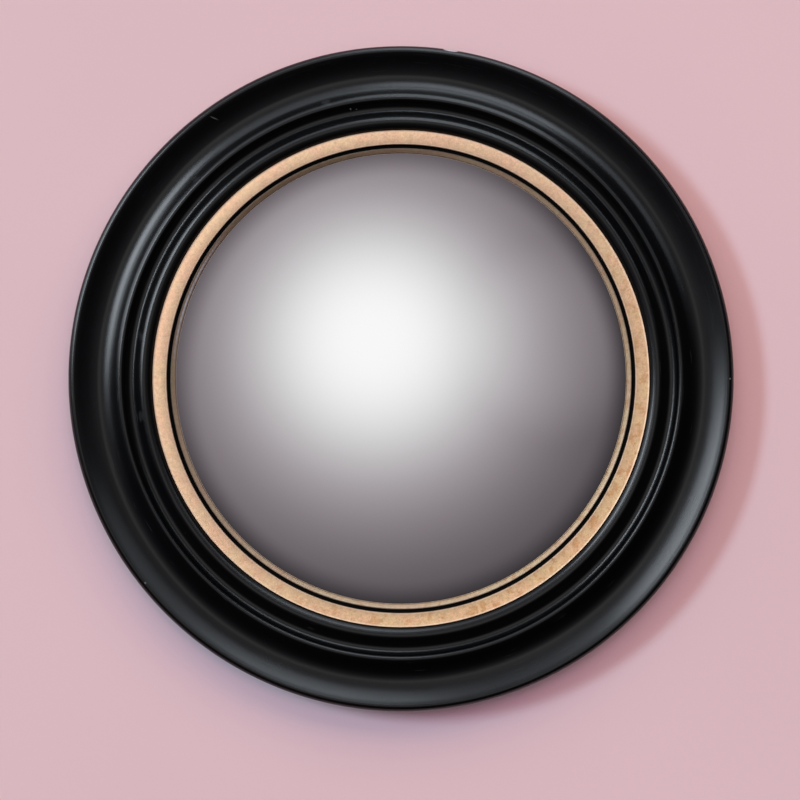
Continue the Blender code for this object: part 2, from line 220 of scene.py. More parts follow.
def evaluated_copy(obj, name):
    """The object's evaluated shape as a plain mesh in world coordinates; the object is removed."""
    bpy.context.view_layer.update()
    graph = bpy.context.evaluated_depsgraph_get()
    mesh = bpy.data.meshes.new_from_object(obj.evaluated_get(graph))
    mesh.name = name
    mesh.transform(obj.matrix_world)
    bm = bmesh.new()
    bm.from_mesh(mesh)
    bmesh.ops.remove_doubles(bm, verts=bm.verts, dist=MERGE_DISTANCE)
    bmesh.ops.recalc_face_normals(bm, faces=bm.faces)
    bm.to_mesh(mesh)
    bm.free()
    bpy.data.objects.remove(obj)
    return mesh


def helper_object(name, data, matrix=None):
    obj = bpy.data.objects.new(name, data)
    bpy.context.scene.collection.objects.link(obj)
    if matrix is not None:
        obj.matrix_world = matrix
    return obj


def wall_matrix(x, h, z, turn_deg=0.0):
    """A frame whose own x runs along the wall, y up it and z away from it, turned about z."""
    upright = Matrix.Rotation(math.radians(90), 4, "X")
    turn = Matrix.Rotation(math.radians(turn_deg), 4, "Z")
    return Matrix.Translation((x, -h, z)) @ upright @ turn


def subtract(obj, cutters):
    for cutter in cutters:
        boolean = obj.modifiers.new("cut", "BOOLEAN")
        boolean.operation = "DIFFERENCE"
        boolean.solver = "EXACT"
        boolean.object = cutter


def box_object(name, size, matrix):
    mesh = bpy.data.meshes.new(name)
    bm = bmesh.new()
    bmesh.ops.create_cube(bm, size=1.0)
    bmesh.ops.scale(bm, vec=size, verts=bm.verts)
    bm.to_mesh(mesh)
    bm.free()
    return helper_object(name, mesh, matrix)


# Shader graphs


class Graph:
    """Short calls for building a node tree. A value is a number, a colour tuple or a node's socket."""

    def __init__(self, tree):
        self.tree = tree

    def node(self, kind, inputs=None, **settings):
        made = self.tree.nodes.new(kind)
        for key, value in settings.items():
            setattr(made, key, value)
        for key, value in (inputs or {}).items():
            self.put(made.inputs[key], value)
        return made

    def put(self, socket, value):
        if isinstance(value, bpy.types.NodeSocket):
            self.tree.links.new(value, socket)
        elif isinstance(value, tuple) and len(value) == 3 and socket.type == "RGBA":
            socket.default_value = (*value, 1.0)
        else:
            socket.default_value = value

    def math(self, operation, a, b=0.0, c=0.0):
        made = self.tree.nodes.new("ShaderNodeMath")
        made.operation = operation
        for socket, value in zip(made.inputs, (a, b, c)):
            self.put(socket, value)
        return made.outputs[0]

    def vector(self, operation, a, b=(0.0, 0.0, 0.0), out=0):
        made = self.tree.nodes.new("ShaderNodeVectorMath")
        made.operation = operation
        self.put(made.inputs[0], a)
        self.put(made.inputs[1], b)
        return made.outputs[out]

    def combine(self, x, y, z):
        return self.node("ShaderNodeCombineXYZ", {0: x, 1: y, 2: z}).outputs[0]

    def separate(self, vector):
        return self.node("ShaderNodeSeparateXYZ", {0: vector}).outputs

    def range(self, value, low, high, to_low=0.0, to_high=1.0, smooth=True):
        kind = "SMOOTHSTEP" if smooth else "LINEAR"
        inputs = {0: value, 1: low, 2: high, 3: to_low, 4: to_high}
        return self.node("ShaderNodeMapRange", inputs, interpolation_type=kind).outputs[0]

    def noise(self, vector, scale, detail=2.0, roughness=0.5):
        inputs = {"Vector": vector, "Scale": scale, "Detail": detail, "Roughness": roughness}
        return self.node("ShaderNodeTexNoise", inputs).outputs["Fac"]

    def cells(self, vector, scale):
        return self.node("ShaderNodeTexVoronoi", {"Vector": vector, "Scale": scale}).outputs["Distance"]

    def mix(self, factor, a, b):
        made = self.tree.nodes.new("ShaderNodeMix")
        made.data_type = "RGBA"
        self.put(made.inputs[0], factor)
        self.put(made.inputs[6], a)
        self.put(made.inputs[7], b)
        return made.outputs[2]

    def scale_colour(self, colour, factor):
        return self.vector("MULTIPLY", colour, self.combine(factor, factor, factor))

    def ramp(self, factor, stops):
        made = self.node("ShaderNodeValToRGB", {0: factor})
        ramp = made.color_ramp
        while len(ramp.elements) < len(stops):
            ramp.elements.new(1.0)
        for element, (position, colour) in zip(ramp.elements, stops):
            element.position = position
            element.color = (*colour, 1.0)
        return made.outputs[0]

    def bump(self, height, distance, strength):
        inputs = {"Height": height, "Distance": distance, "Strength": strength}
        return self.node("ShaderNodeBump", inputs).outputs[0]

    def position(self):
        return self.node("ShaderNodeTexCoord").outputs["Object"]

    def polar(self, position):
        """(r, unit direction) from the mirror's axis."""
        x, _, z = self.separate(position)
        flat = self.combine(x, 0.0, z)
        return self.vector("LENGTH", flat, out=1), self.vector("NORMALIZE", flat)

    def swept(self, position, along_scale, across_scale):
        """Coordinates that stretch a texture round the mirror's axis without a seam."""
        r, direction = self.polar(position)
        around = self.vector("MULTIPLY", direction, (along_scale,) * 3)
        _, y, _ = self.separate(position)
        across = self.math("MULTIPLY", self.math("SUBTRACT", r, y), across_scale)
        return self.vector("ADD", around, self.combine(0.0, across, 0.0))

    def spot(self, position, angle_deg, r, along, across, tilt_deg=0.0):
        """1 inside a small ellipse at that place on the front, fading to 0 at its edge."""
        x, z = on_circle(r, angle_deg)
        px, _, pz = self.separate(position)
        dx = self.math("SUBTRACT", px, x)
        dz = self.math("SUBTRACT", pz, z)
        turn = math.radians(angle_deg + 90.0 + tilt_deg)
        c, s = math.cos(turn), math.sin(turn)
        u = self.math("MULTIPLY_ADD", dx, c / along, self.math("MULTIPLY", dz, s / along))
        v = self.math("MULTIPLY_ADD", dz, c / across, self.math("MULTIPLY", dx, -s / across))
        far = self.vector("LENGTH", self.combine(u, v, 0.0), out=1)
        return self.range(far, 0.6, 1.0, 1.0, 0.0)


def new_material(name):
    material = bpy.data.materials.new(name)
    material.use_nodes = True
    tree = material.node_tree
    return material, Graph(tree), tree.nodes["Principled BSDF"]


def finish_shader(graph, shader, **inputs):
    names = {"colour": "Base Color", "rough": "Roughness", "metal": "Metallic", "normal": "Normal"}
    names["specular"] = "Specular IOR Level"
    for key, value in inputs.items():
        graph.put(shader.inputs[names[key]], value)


# Materials


def black_lacquer(marks):
    """Satin black: faint swirl from rubbing down, dust, a few old marks, and a thin dull coat behind.

    y grows from the frame's front to its back. The marks fade out by the rim's side, and the dull coat
    starts at the back face's edge.
    """
    material, g, shader = new_material("satin_black_lacquer")
    cad_front, cad_back = (corner.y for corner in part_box("cove_ring"))
    p = g.position()
    swirl = g.noise(g.swept(p, 5.0, 700.0), 1.0, 3.0, 0.6)
    cloud = g.noise(p, 22.0, 3.0, 0.55)
    grain = g.noise(p, 1500.0, 2.0, 0.6)
    dust = g.range(g.cells(p, 260.0), 0.0, 0.055, 1.0, 0.0)
    dust = g.math("MULTIPLY", dust, g.range(g.noise(p, 60.0, 1.0), 0.62, 0.72))
    colour = g.mix(cloud, (0.0006, 0.0006, 0.0009), (0.0014, 0.0014, 0.0018))
    colour = g.mix(g.math("MULTIPLY", dust, 0.55), colour, (0.16, 0.16, 0.16))
    scratch = g.noise(g.swept(p, 9.0, 2600.0), 1.0, 1.0, 0.5)
    scratch = g.range(scratch, 0.72, 0.76)
    colour = g.mix(g.math("MULTIPLY", scratch, 0.06), colour, (0.20, 0.20, 0.21))
    _, y, _ = g.separate(p)
    front = g.range(y, cad_front + 3.0 * MM, cad_front + 4.5 * MM, 1.0, 0.0)
    for mark, strength, shade in marks:
        strength = g.math("MULTIPLY", front, strength)
        colour = g.mix(g.math("MULTIPLY", g.spot(p, *mark), strength), colour, shade)
    rough = g.range(cloud, 0.3, 0.7, 0.23, 0.27, smooth=False)
    rough = g.math("MULTIPLY_ADD", swirl, 0.02, rough)
    behind = g.range(y, cad_back - 1.0 * MM, cad_back - 0.3 * MM)
    brushed = g.range(g.noise(g.swept(p, 40.0, 500.0), 1.0, 3.0, 0.6), 0.3, 0.7)
    thin_coat = g.mix(brushed, (0.016, 0.014, 0.013), (0.034, 0.029, 0.026))
    colour = g.mix(behind, colour, thin_coat)
    rough = g.math("MULTIPLY_ADD", behind, 0.4, rough)
    height = g.math("MULTIPLY_ADD", swirl, 0.10, g.math("MULTIPLY", grain, 0.4))
    normal = g.bump(height, 0.02 * MM, 0.6)
    finish_shader(g, shader, colour=colour, rough=rough, normal=normal, specular=0.36)
    return material


def gilt_paint(name, painted_shading, highlight_and_wear_lines, rough, shiny):
    """Gold paint brushed over a red ground: drifts of pink, orange and khaki, pale at its edges from paint
    wear and painted highlight.

    The (r in mm, tone) pairs paint light and shade into the coat across the ring. The pale lines come as
    (r in mm, half width in mm, strength, middle of the stretch where they show in degrees, the cosine of the
    angle where it ends, shade); they are painted highlights on rounded edges and crests, partly paint wear.
    """
    material, g, shader = new_material(name)
    p = g.position()
    r, direction = g.polar(p)
    x, _, z = g.separate(p)
    # Redder, more orange and more specked towards the lower right.
    lower_right = g.range(g.math("SUBTRACT", x, z), -0.06, 0.22)
    drift = g.noise(p, 70.0, 3.0, 0.6)
    blotch = g.noise(p, 420.0, 2.0, 0.6)
    fleck = g.noise(p, 1300.0, 2.0, 0.7)
    stroke = g.noise(g.swept(p, 90.0, 900.0), 1.0, 2.0, 0.6)
    colour = g.mix(g.range(drift, 0.38, 0.62), (0.90, 0.555, 0.355), (0.88, 0.59, 0.36))
    redder = g.range(g.noise(p, 260.0, 2.0, 0.5), 0.50, 0.68)
    redder = g.math("MULTIPLY", redder, g.math("MULTIPLY_ADD", lower_right, 0.75, 0.12))
    colour = g.mix(redder, colour, (0.72, 0.36, 0.17))
    colour = g.mix(lower_right, colour, g.vector("MULTIPLY", colour, (1.0, 1.0, 0.88)))
    shade = g.math("MULTIPLY_ADD", g.math("SUBTRACT", blotch, 0.5), 0.45, 1.0)
    shade = g.math("MULTIPLY_ADD", g.math("SUBTRACT", fleck, 0.5), 0.60, shade)
    shade = g.math("MULTIPLY_ADD", g.math("SUBTRACT", stroke, 0.5), 0.35, shade)
    # Painted light and shade across the ring, from the (r, tone) pairs.
    low_r, high_r = painted_shading[0][0], painted_shading[-1][0]
    across = g.math("DIVIDE", g.math("SUBTRACT", r, low_r * MM), (high_r - low_r) * MM)
    stops = [((radius - low_r) / (high_r - low_r), (tone,) * 3) for radius, tone in painted_shading]
    tone, _, _ = g.separate(g.ramp(across, stops))
    colour = g.scale_colour(colour, g.math("MULTIPLY", shade, tone))
    speck = g.range(g.noise(p, 900.0, 1.0, 0.5), 0.66, 0.74)
    speck = g.math("MULTIPLY", speck, g.math("MULTIPLY_ADD", lower_right, 0.28, 0.08))
    colour = g.mix(speck, colour, (0.20, 0.11, 0.07))
    # Pale lines: painted highlights on rounded edges and crests, partly paint wear.
    for radius, half, strength, middle_deg, limit, pale in highlight_and_wear_lines:
        offset = g.math("ABSOLUTE", g.math("SUBTRACT", r, radius * MM))
        line = g.range(offset, 0.3 * half * MM, half * MM, strength, 0.0)
        line = g.math("MULTIPLY", line, g.range(blotch, 0.35, 0.6, 0.6, 1.0))
        here_x, here_z = on_circle(1.0, middle_deg)
        near = g.vector("DOT_PRODUCT", direction, (here_x, 0.0, here_z), out=1)
        line = g.math("MULTIPLY", line, g.range(near, limit, limit + 0.08))
        colour = g.mix(line, colour, pale)
    height = g.math("MULTIPLY_ADD", stroke, 0.6, g.math("MULTIPLY", fleck, 0.5))
    roughness = g.math("MULTIPLY_ADD", fleck, 0.2, rough)
    normal = g.bump(height, 0.05 * MM, 0.6)
    finish_shader(g, shader, colour=colour, rough=roughness, metal=shiny, normal=normal)
    return material


def plain_grained(name, low, high, scale, rough=(0.5, 0.6), depth=0.02, specular=0.5):
    """A mottled finish: two shades mixed by noise, with a matching bump and roughness."""
    material, g, shader = new_material(name)
    p = g.position()
    broad = g.noise(p, scale / 8.0, 3.0, 0.6)
    fine = g.noise(p, scale, 2.0, 0.6)
    blend = g.math("MULTIPLY_ADD", broad, 0.6, g.math("MULTIPLY", fine, 0.4))
    colour = g.mix(g.range(blend, 0.35, 0.65), low, high)
    roughness = g.range(fine, 0.3, 0.7, *rough, smooth=False)
    normal = g.bump(fine, depth * MM, 0.8)
    finish_shader(g, shader, colour=colour, rough=roughness, normal=normal, specular=specular)
    return material


def hardboard():
    """Brown pressed board, screen side out: a fine wire-mesh imprint under matted fibres."""
    material, g, shader = new_material("screen_back_hardboard")
    p = g.position()
    x, _, z = g.separate(p)
    pitch = 2.0 * math.pi / (1.5 * MM)
    weave_x = g.math("SINE", g.math("MULTIPLY", x, pitch))
    weave_z = g.math("SINE", g.math("MULTIPLY", z, pitch))
    mesh_print = g.math("MULTIPLY", weave_x, weave_z)
    fibre = g.noise(p, 500.0, 4.0, 0.7)
    blotch = g.noise(p, 30.0, 4.0, 0.6)
    colour = g.mix(g.range(blotch, 0.25, 0.75), (0.170, 0.092, 0.047), (0.225, 0.128, 0.067))
    colour = g.scale_colour(colour, g.range(fibre, 0.2, 0.8, 0.55, 1.42, smooth=False))
    colour = g.scale_colour(colour, g.range(mesh_print, -1.0, 1.0, 0.86, 1.08, smooth=False))
    height = g.math("MULTIPLY_ADD", mesh_print, 0.35, fibre)
    finish_shader(g, shader, colour=colour, rough=0.82, normal=g.bump(height, 0.12 * MM, 0.8))
    return material


def mirror_silver():
    """Silvered glass: clear of texture but for a trace of polish haze and dust."""
    material, g, shader = new_material("silvered_glass")
    p = g.position()
    haze = g.noise(p, 40.0, 3.0, 0.6)
    dust = g.range(g.cells(p, 170.0), 0.0, 0.03, 1.0, 0.0)
    dust = g.math("MULTIPLY", dust, g.range(g.noise(p, 45.0, 1.0), 0.64, 0.72))
    rough = g.math("MULTIPLY_ADD", dust, 0.25, g.range(haze, 0.3, 0.7, 0.004, 0.012, smooth=False))
    colour = g.mix(g.math("MULTIPLY", dust, 0.08), (0.955, 0.95, 0.955), (0.6, 0.6, 0.6))
    finish_shader(g, shader, colour=colour, rough=rough, metal=1.0)
    return material


def metal(name, bright, dull, streak_scale):
    """Plated steel: a rolled grain, cloudy patches and softly varying polish."""
    material, g, shader = new_material(name)
    p = g.position()
    patch = g.noise(p, 180.0, 3.0, 0.6)
    x, y, z = g.separate(p)
    grain = g.noise(g.combine(x, g.math("MULTIPLY", y, 4.0), g.math("MULTIPLY", z, 9.0)), streak_scale, 2.0)
    colour = g.mix(g.range(patch, 0.3, 0.7), dull, bright)
    rough = g.range(grain, 0.3, 0.7, 0.26, 0.42, smooth=False)
    normal = g.bump(grain, 0.01 * MM, 0.7)
    finish_shader(g, shader, colour=colour, rough=rough, metal=1.0, normal=normal)
    return material


# Old marks on the front: (angle in degrees, r, half length, half width, lean), strength, shade.
MARKS = (
    ((125.6, 182.8 * MM, 3.2 * MM, 0.42 * MM, -57.4), 0.40, (0.26, 0.27, 0.28)),
    ((81.4, 189.6 * MM, 5.0 * MM, 0.8 * MM), 0.85, (0.60, 0.52, 0.52)),
    ((0.0, 187.6 * MM, 0.5 * MM, 0.5 * MM), 0.5, (0.4, 0.4, 0.4)),
    ((218.6, 186.6 * MM, 0.8 * MM, 0.6 * MM), 0.35, (0.25, 0.28, 0.32)),
    ((100.6, 156.6 * MM, 0.45 * MM, 0.45 * MM), 0.7, (0.5, 0.5, 0.5)),
    ((99.4, 156.0 * MM, 0.35 * MM, 0.3 * MM), 0.6, (0.45, 0.45, 0.45)),
)

LACQUER = black_lacquer(MARKS)

# The gilt's painted light and shade across each ring, and its pale lines, as gilt_paint describes them.
# On the band: painted shade by the groove inside it, lighter outwards; the pale lines at both rounded edges
# are painted highlights, partly paint wear.
BAND_PAINTED_SHADING = ((133.6, 0.62), (135.2, 0.80), (137.5, 0.96), (139.5, 1.06), (141.7, 1.10))
BAND_HIGHLIGHT_AND_WEAR_LINES = (
    (141.2, 0.6, 0.5, 0.0, -3.0, (0.95, 0.76, 0.62)),
    (134.1, 0.4, 0.6, 0.0, -3.0, (0.85, 0.62, 0.50)),
)
# On the sight ring: darker than the band, and darkest at its outer edge, painted shade for its place sunk
# under the band; the lilac line on its crest, towards the upper left, is a painted glint.
LIP_PAINTED_SHADING = ((129.0, 0.50), (130.4, 0.45), (131.0, 0.34), (131.35, 0.12), (131.6, 0.08))
LIP_PAINTED_GLINT = ((130.0, 0.65, 1.0, 158.0, 0.94, (0.95, 0.88, 1.0)),)
GILT = gilt_paint("brushed_gilt_paint", BAND_PAINTED_SHADING, BAND_HIGHLIGHT_AND_WEAR_LINES, 0.38, 0.30)
GILT_LIP = gilt_paint("gilt_paint_painted_shade", LIP_PAINTED_SHADING, LIP_PAINTED_GLINT, 0.34, 0.15)
# Black slip paint with its sheen almost off: partly the slip's own black, partly painted shade for the deep
# groove it lies in.
EBONISED = plain_grained(
    "ebonised_slip_paint", (0.0008, 0.0006, 0.0006), (0.0018, 0.0013, 0.0012), 700.0, (0.7, 0.8), specular=0.1
)
FELT = plain_grained("black_felt", (0.004, 0.004, 0.004), (0.012, 0.012, 0.012), 1800.0, (0.9, 1.0))
FOAM = plain_grained("grey_foam", (0.16, 0.16, 0.17), (0.26, 0.26, 0.27), 900.0, (0.9, 1.0), depth=0.15)
FIBREBOARD = plain_grained("bare_fibreboard", (0.33, 0.21, 0.12), (0.46, 0.31, 0.18), 600.0, (0.8, 0.9))
RUBBER = plain_grained("grey_rubber", (0.045, 0.045, 0.048), (0.075, 0.075, 0.08), 500.0, (0.5, 0.65))
SILVER = mirror_silver()
HARDBOARD = hardboard()
ZINC = metal("zinc_plate", (0.70, 0.70, 0.68), (0.50, 0.50, 0.50), 500.0)
BRASS = metal("brass_plate", (0.86, 0.66, 0.34), (0.66, 0.47, 0.22), 600.0)


# The frame


def build_cove_ring():
    low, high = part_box("cove_ring")
    back, crest, outer = -high.y, -low.y, high.x
    face = moulded_face(COVE_FACE, crest)
    chamfer = 1.0 * MM
    ledge_r, ledge_h = 141.4 * MM, back + LEDGE_OVER_BACK
    outline = face + rolled_edge(face[-1], RIM_OVER, RIM_DOWN, RIM_POWER, 18)
    outline += arc((outer - chamfer, back + chamfer), chamfer, 0, -90, 4)
    outline += [(ledge_r, back), (ledge_r, ledge_h), (face[0][0], ledge_h)]
    mesh = turned_mesh("cove_ring_fine", outline)
    return add_piece("cove_ring_fine", mesh, LACQUER, ROOT, "cove_ring")


def build_bead_ring():
    low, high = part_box("bead_ring")
    foot, seat = -high.y, -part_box("gilt_band")[1].y - GAP
    inner_r = 135.6 * MM
    face = moulded_face(BEAD_FACE, -low.y)
    outline = face + [(face[-1][0], foot), (inner_r, foot), (inner_r, seat), (face[0][0], seat)]
    mesh = turned_mesh("bead_ring_fine", outline)
    return add_piece("bead_ring_fine", mesh, LACQUER, ROOT, "bead_ring")


def build_gilt_band():
    low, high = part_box("gilt_band")
    crest, seat, outer = -low.y, -high.y, high.x
    inner, edge = 133.65 * MM, 0.45 * MM
    step_r, step_h = 135.7 * MM, crest - 1.6 * MM
    face = [(r * MM, crest - fall * MM) for r, fall in BAND_FACE]
    outline = arc((inner + edge, crest - edge), edge, 180, 90, 5) + face
    outline += [(outer, face[-1][1] - 0.1 * MM), (outer, seat)]
    outline += [(step_r, seat), (step_r, step_h), (inner, step_h)]
    mesh = turned_mesh("gilt_band_fine", outline)
    return add_piece("gilt_band_fine", mesh, GILT, ROOT, "gilt_band")


def build_slip():
    low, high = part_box("ebonised_slip")
    crest, base, outer = -low.y, -high.y, high.x
    inner, edge = 131.9 * MM, 0.15 * MM
    outline = arc((inner + edge, crest - edge), edge, 180, 90, 3)
    outline += [(outer, crest), (outer, base), (inner, base)]
    mesh = turned_mesh("ebonised_slip_fine", outline)
    return add_piece("ebonised_slip_fine", mesh, EBONISED, ROOT, "ebonised_slip")


def build_sight_ring():
    low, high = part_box("sight_ring")
    crest, base, outer = -low.y, -high.y, high.x
    outline = [(LIP_INNER_R, base)]
    width, steps = LIP_CREST_R - LIP_INNER_R, 12
    for i in range(steps + 1):
        inward = 1.0 - i / steps
        outline.append((LIP_CREST_R - width * inward, crest - LIP_FALL * inward**LIP_POWER))
    outline += rolled_edge(outline[-1], LIP_OVER, LIP_DOWN, 2.0, 4)
    outline += [(outer, base)]
    mesh = turned_mesh("sight_ring_fine", outline)
    return add_piece("sight_ring_fine", mesh, GILT_LIP, ROOT, "sight_ring")


# The glass and what holds it


GLASS_APEX = -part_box("mirror_glass")[0].y
GLASS_EDGE_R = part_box("mirror_glass")[1].x


def glass_h(r, inset=0.0):
    """The height of the glass's front face at r, or of a sphere that far inside it."""
    return GLASS_APEX - GLASS_FACE_R + math.sqrt((GLASS_FACE_R - inset) ** 2 - r**2)


def build_glass():
    steps = 64
    radii = [GLASS_EDGE_R * i / steps for i in range(steps + 1)]
    edge = 0.3 * MM
    radii[-1] = GLASS_EDGE_R - edge
    outline = [(r, glass_h(r)) for r in radii]
    outline += [(GLASS_EDGE_R, glass_h(GLASS_EDGE_R) - edge)]
    outline += [(GLASS_EDGE_R, glass_h(GLASS_EDGE_R, GLASS_THICK) + edge)]
    outline += [(r, glass_h(r, GLASS_THICK)) for r in reversed(radii)]
    mesh = turned_mesh("mirror_glass_fine", outline, closed=False)
    return add_piece("mirror_glass_fine", mesh, SILVER, ROOT, "mirror_glass", 60.0)


def build_gasket():
    low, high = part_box("glass_gasket")
    top, foot, outer = -low.y, -high.y, high.x
    inner, skirt, lift = 130.4 * MM, GLASS_EDGE_R + GAP, 0.25 * MM
    outline = [(inner, top), (outer, top), (outer, foot), (skirt, foot)]
    outline += [(skirt, glass_h(skirt) + lift), (inner, glass_h(inner) + lift)]
    mesh = turned_mesh("glass_gasket_fine", outline)
    return add_piece("glass_gasket_fine", mesh, FELT, ROOT, "glass_gasket")


def build_rear_cushion():
    inner_h = glass_h(CUSHION_INNER_R, GLASS_THICK) - GAP
    outer_h = glass_h(GLASS_EDGE_R, GLASS_THICK) - GAP
    outline = [(CUSHION_INNER_R, inner_h), (GLASS_EDGE_R, outer_h)]
    outline += [(GLASS_EDGE_R, outer_h - CUSHION_THICK), (CUSHION_INNER_R, inner_h - CUSHION_THICK)]
    mesh = turned_mesh("rear_cushion_fine", outline)
    return add_piece("rear_cushion_fine", mesh, FOAM, ROOT, "rear_cushion")


def build_spacer_ring():
    _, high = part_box("spacer_ring")
    base, outer, clear_r = -high.y, high.x, 134.8 * MM
    ledge = -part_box("cove_ring")[1].y + LEDGE_OVER_BACK
    drop = 2 * GAP + CUSHION_THICK
    inner_h = glass_h(CUSHION_INNER_R, GLASS_THICK) - drop
    outer_h = glass_h(GLASS_EDGE_R, GLASS_THICK) - drop
    outline = [(CUSHION_INNER_R, inner_h), (GLASS_EDGE_R, outer_h), (clear_r, outer_h)]
    outline += [(clear_r, ledge), (outer, ledge), (outer, base), (CUSHION_INNER_R, base)]
    mesh = turned_mesh("spacer_ring_fine", outline)
    return add_piece("spacer_ring_fine", mesh, FIBREBOARD, ROOT, "spacer_ring")


def build_backing_board():
    low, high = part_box("backing_board")
    front, back, outer = -low.y, -high.y, high.x
    edge = 0.3 * MM
    outline = [(0.0, front), (outer, front), (outer, back + edge), (outer - edge, back), (0.0, back)]
    mesh = turned_mesh("backing_board_fine", outline, closed=False)
    return add_piece("backing_board_fine", mesh, HARDBOARD, ROOT, "backing_board")


# Fittings on the back


def centre_of(node):
    low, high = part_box(node)
    return (low + high) / 2


def pivot_of(joint_name):
    joint = next(j for j in frame["joints"] if j["name"] == joint_name)
    return Vector(joint["pos_m"])


def plate_mesh(name, outlines, thick, edge, matrix):
    """A flat stamped plate with softened edges."""
    curve = bpy.data.curves.new(name, "CURVE")
    curve.dimensions = "2D"
    curve.fill_mode = "BOTH"
    curve.extrude = thick / 2 - edge
    curve.bevel_depth = edge
    curve.bevel_resolution = 2
    curve.offset = -edge
    for outline in outlines:
        spline = curve.splines.new("POLY")
        spline.points.add(len(outline) - 1)
        for point, (x, y) in zip(spline.points, outline):
            point.co = (x, y, 0.0, 1.0)
        spline.use_cyclic_u = True
    return evaluated_copy(helper_object(name, curve, matrix), name)


def build_turn_buttons():
    pivot_r, nose_r, reach, edge = 6.0 * MM, 4.0 * MM, 22.0 * MM, 0.22 * MM
    lean = math.degrees(math.acos((pivot_r - nose_r) / reach))
    body = arc((0.0, 0.0), pivot_r, 180 - lean, lean - 180, 32)
    body += arc((-reach, 0.0), nose_r, lean - 180, -180 - lean, 20)
    hole = arc((0.0, 0.0), SCREW_HOLE_R, 0, 360, 32)[:-1]
    for i in range(TURN_BUTTONS):
        node = f"turn_button_{i + 1}"
        low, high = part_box(node)
        pivot = pivot_of(f"{node}_pivot")
        matrix = wall_matrix(pivot.x, -pivot.y, pivot.z, 360.0 / TURN_BUTTONS * i)
        mesh = plate_mesh(f"{node}_fine", (body, hole), high.y - low.y, edge, matrix)
        add_piece(f"{node}_fine", mesh, ZINC, node, node)


def build_screw(node, tilt_deg):
    """A pan-head screw with a cross recess turned by tilt_deg."""
    low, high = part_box(node)
    x, z = centre_of(node).x, centre_of(node).z
    head_r, head_round, head_edge, head = 3.2 * MM, 1.1 * MM, 0.15 * MM, 1.8 * MM
    shank_r, neck = 1.5 * MM, 0.1 * MM
    tip, back = -low.y, -high.y
    seat = back + head
    outline = [(0.0, tip), (shank_r, tip - 2 * shank_r), (shank_r, seat + neck), (shank_r, seat)]
    outline += [(head_r - head_edge, seat), (head_r, seat - head_edge)]
    outline += arc((head_r - head_round, back + head_round), head_round, 0, -75, 8)
    outline += [(0.0, back)]
    obj = helper_object(node, turned_mesh(node, outline, 40, (x, z), closed=False))
    recess_long, recess_wide, recess_deep = 3.6 * MM, 0.75 * MM, 1.1 * MM
    cutters = []
    for turn in (0.0, 90.0):
        matrix = wall_matrix(x, back, z, tilt_deg + turn)
        cutters.append(box_object("recess_arm", (recess_long, recess_wide, 2 * recess_deep), matrix))
    subtract(obj, cutters)
    mesh = evaluated_copy(obj, f"{node}_fine")
    for cutter in cutters:
        bpy.data.objects.remove(cutter)
    add_piece(f"{node}_fine", mesh, ZINC, ROOT, node)


def build_screws():
    """Every screw stopped at its own turn, as hand-driven screws do."""
    for i in range(TURN_BUTTONS):
        build_screw(f"turn_button_screw_{i + 1}", 17.0 + 53.0 * i)
    for i in range(HANGER_SCREWS):
        build_screw(f"hanger_screw_{i + 1}", 31.0 + 40.0 * i)


def build_bumpers():
    for i in range(WALL_BUMPERS):
        node = f"wall_bumper_{i + 1}"
        low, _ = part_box(node)
        x, z = centre_of(node).x, centre_of(node).z
        top, base_r, foot_r = -low.y, 6.5 * MM, 4.78 * MM
        flange, edge = 1.0 * MM, 0.7 * MM
        outline = [(0.0, top), (base_r, top), (base_r, top - flange)]
        outline += arc((foot_r, WALL_H + edge), edge, 5, -90, 6)
        outline += [(0.0, WALL_H)]
        mesh = turned_mesh(f"{node}_fine", outline, 48, (x, z), closed=False)
        add_piece(f"{node}_fine", mesh, RUBBER, ROOT, node, 50.0)


def build_hanger_strap():
    """A strap of sheet rolled round the hanging ring's straight side, with two screw holes."""
    pivot = pivot_of("hanging_ring_hinge")
    thick, half, length, segments = 0.8 * MM, 4.5 * MM, 22.0 * MM, 11
    middle_r = WIRE_R + STRAP_CLEARANCE + thick / 2
    side_view = [(-length + length * i / segments, middle_r) for i in range(segments)]
    side_view += arc((0.0, 0.0), middle_r, 90, -200, 40)
    vertices = [(w, y, z) for y, z in side_view for w in (-half, half)]
    faces = [(2 * i, 2 * i + 1, 2 * i + 3, 2 * i + 2) for i in range(len(side_view) - 1)]
    mesh = bpy.data.meshes.new("hanger_strap_sheet")
    mesh.from_pydata(vertices, [], faces)
    strap = helper_object("hanger_strap_sheet", mesh, wall_matrix(pivot.x, -pivot.y, pivot.z))
    sheet = strap.modifiers.new("sheet", "SOLIDIFY")
    sheet.thickness = thick
    sheet.offset = 0.0
    sheet.use_even_offset = True
    holes, hole_depth = [], 20.0 * MM
    for i in range(HANGER_SCREWS):
        x, z = centre_of(f"hanger_screw_{i + 1}").x, centre_of(f"hanger_screw_{i + 1}").z
        start, end = -pivot.y + hole_depth, -pivot.y
        outline = [(0.0, start), (SCREW_HOLE_R, start), (SCREW_HOLE_R, end), (0.0, end)]
        holes.append(helper_object("strap_hole", turned_mesh("strap_hole", outline, 32, (x, z), False)))
    subtract(strap, holes)
    bevel = strap.modifiers.new("edges", "BEVEL")
    bevel.width = 0.15 * MM
    bevel.segments = 2
    bevel.limit_method = "ANGLE"
    bevel.angle_limit = math.radians(50)
    mesh = evaluated_copy(strap, "hanger_strap_fine")
    for hole in holes:
        bpy.data.objects.remove(hole)
    add_piece("hanger_strap_fine", mesh, BRASS, ROOT, "hanger_strap")


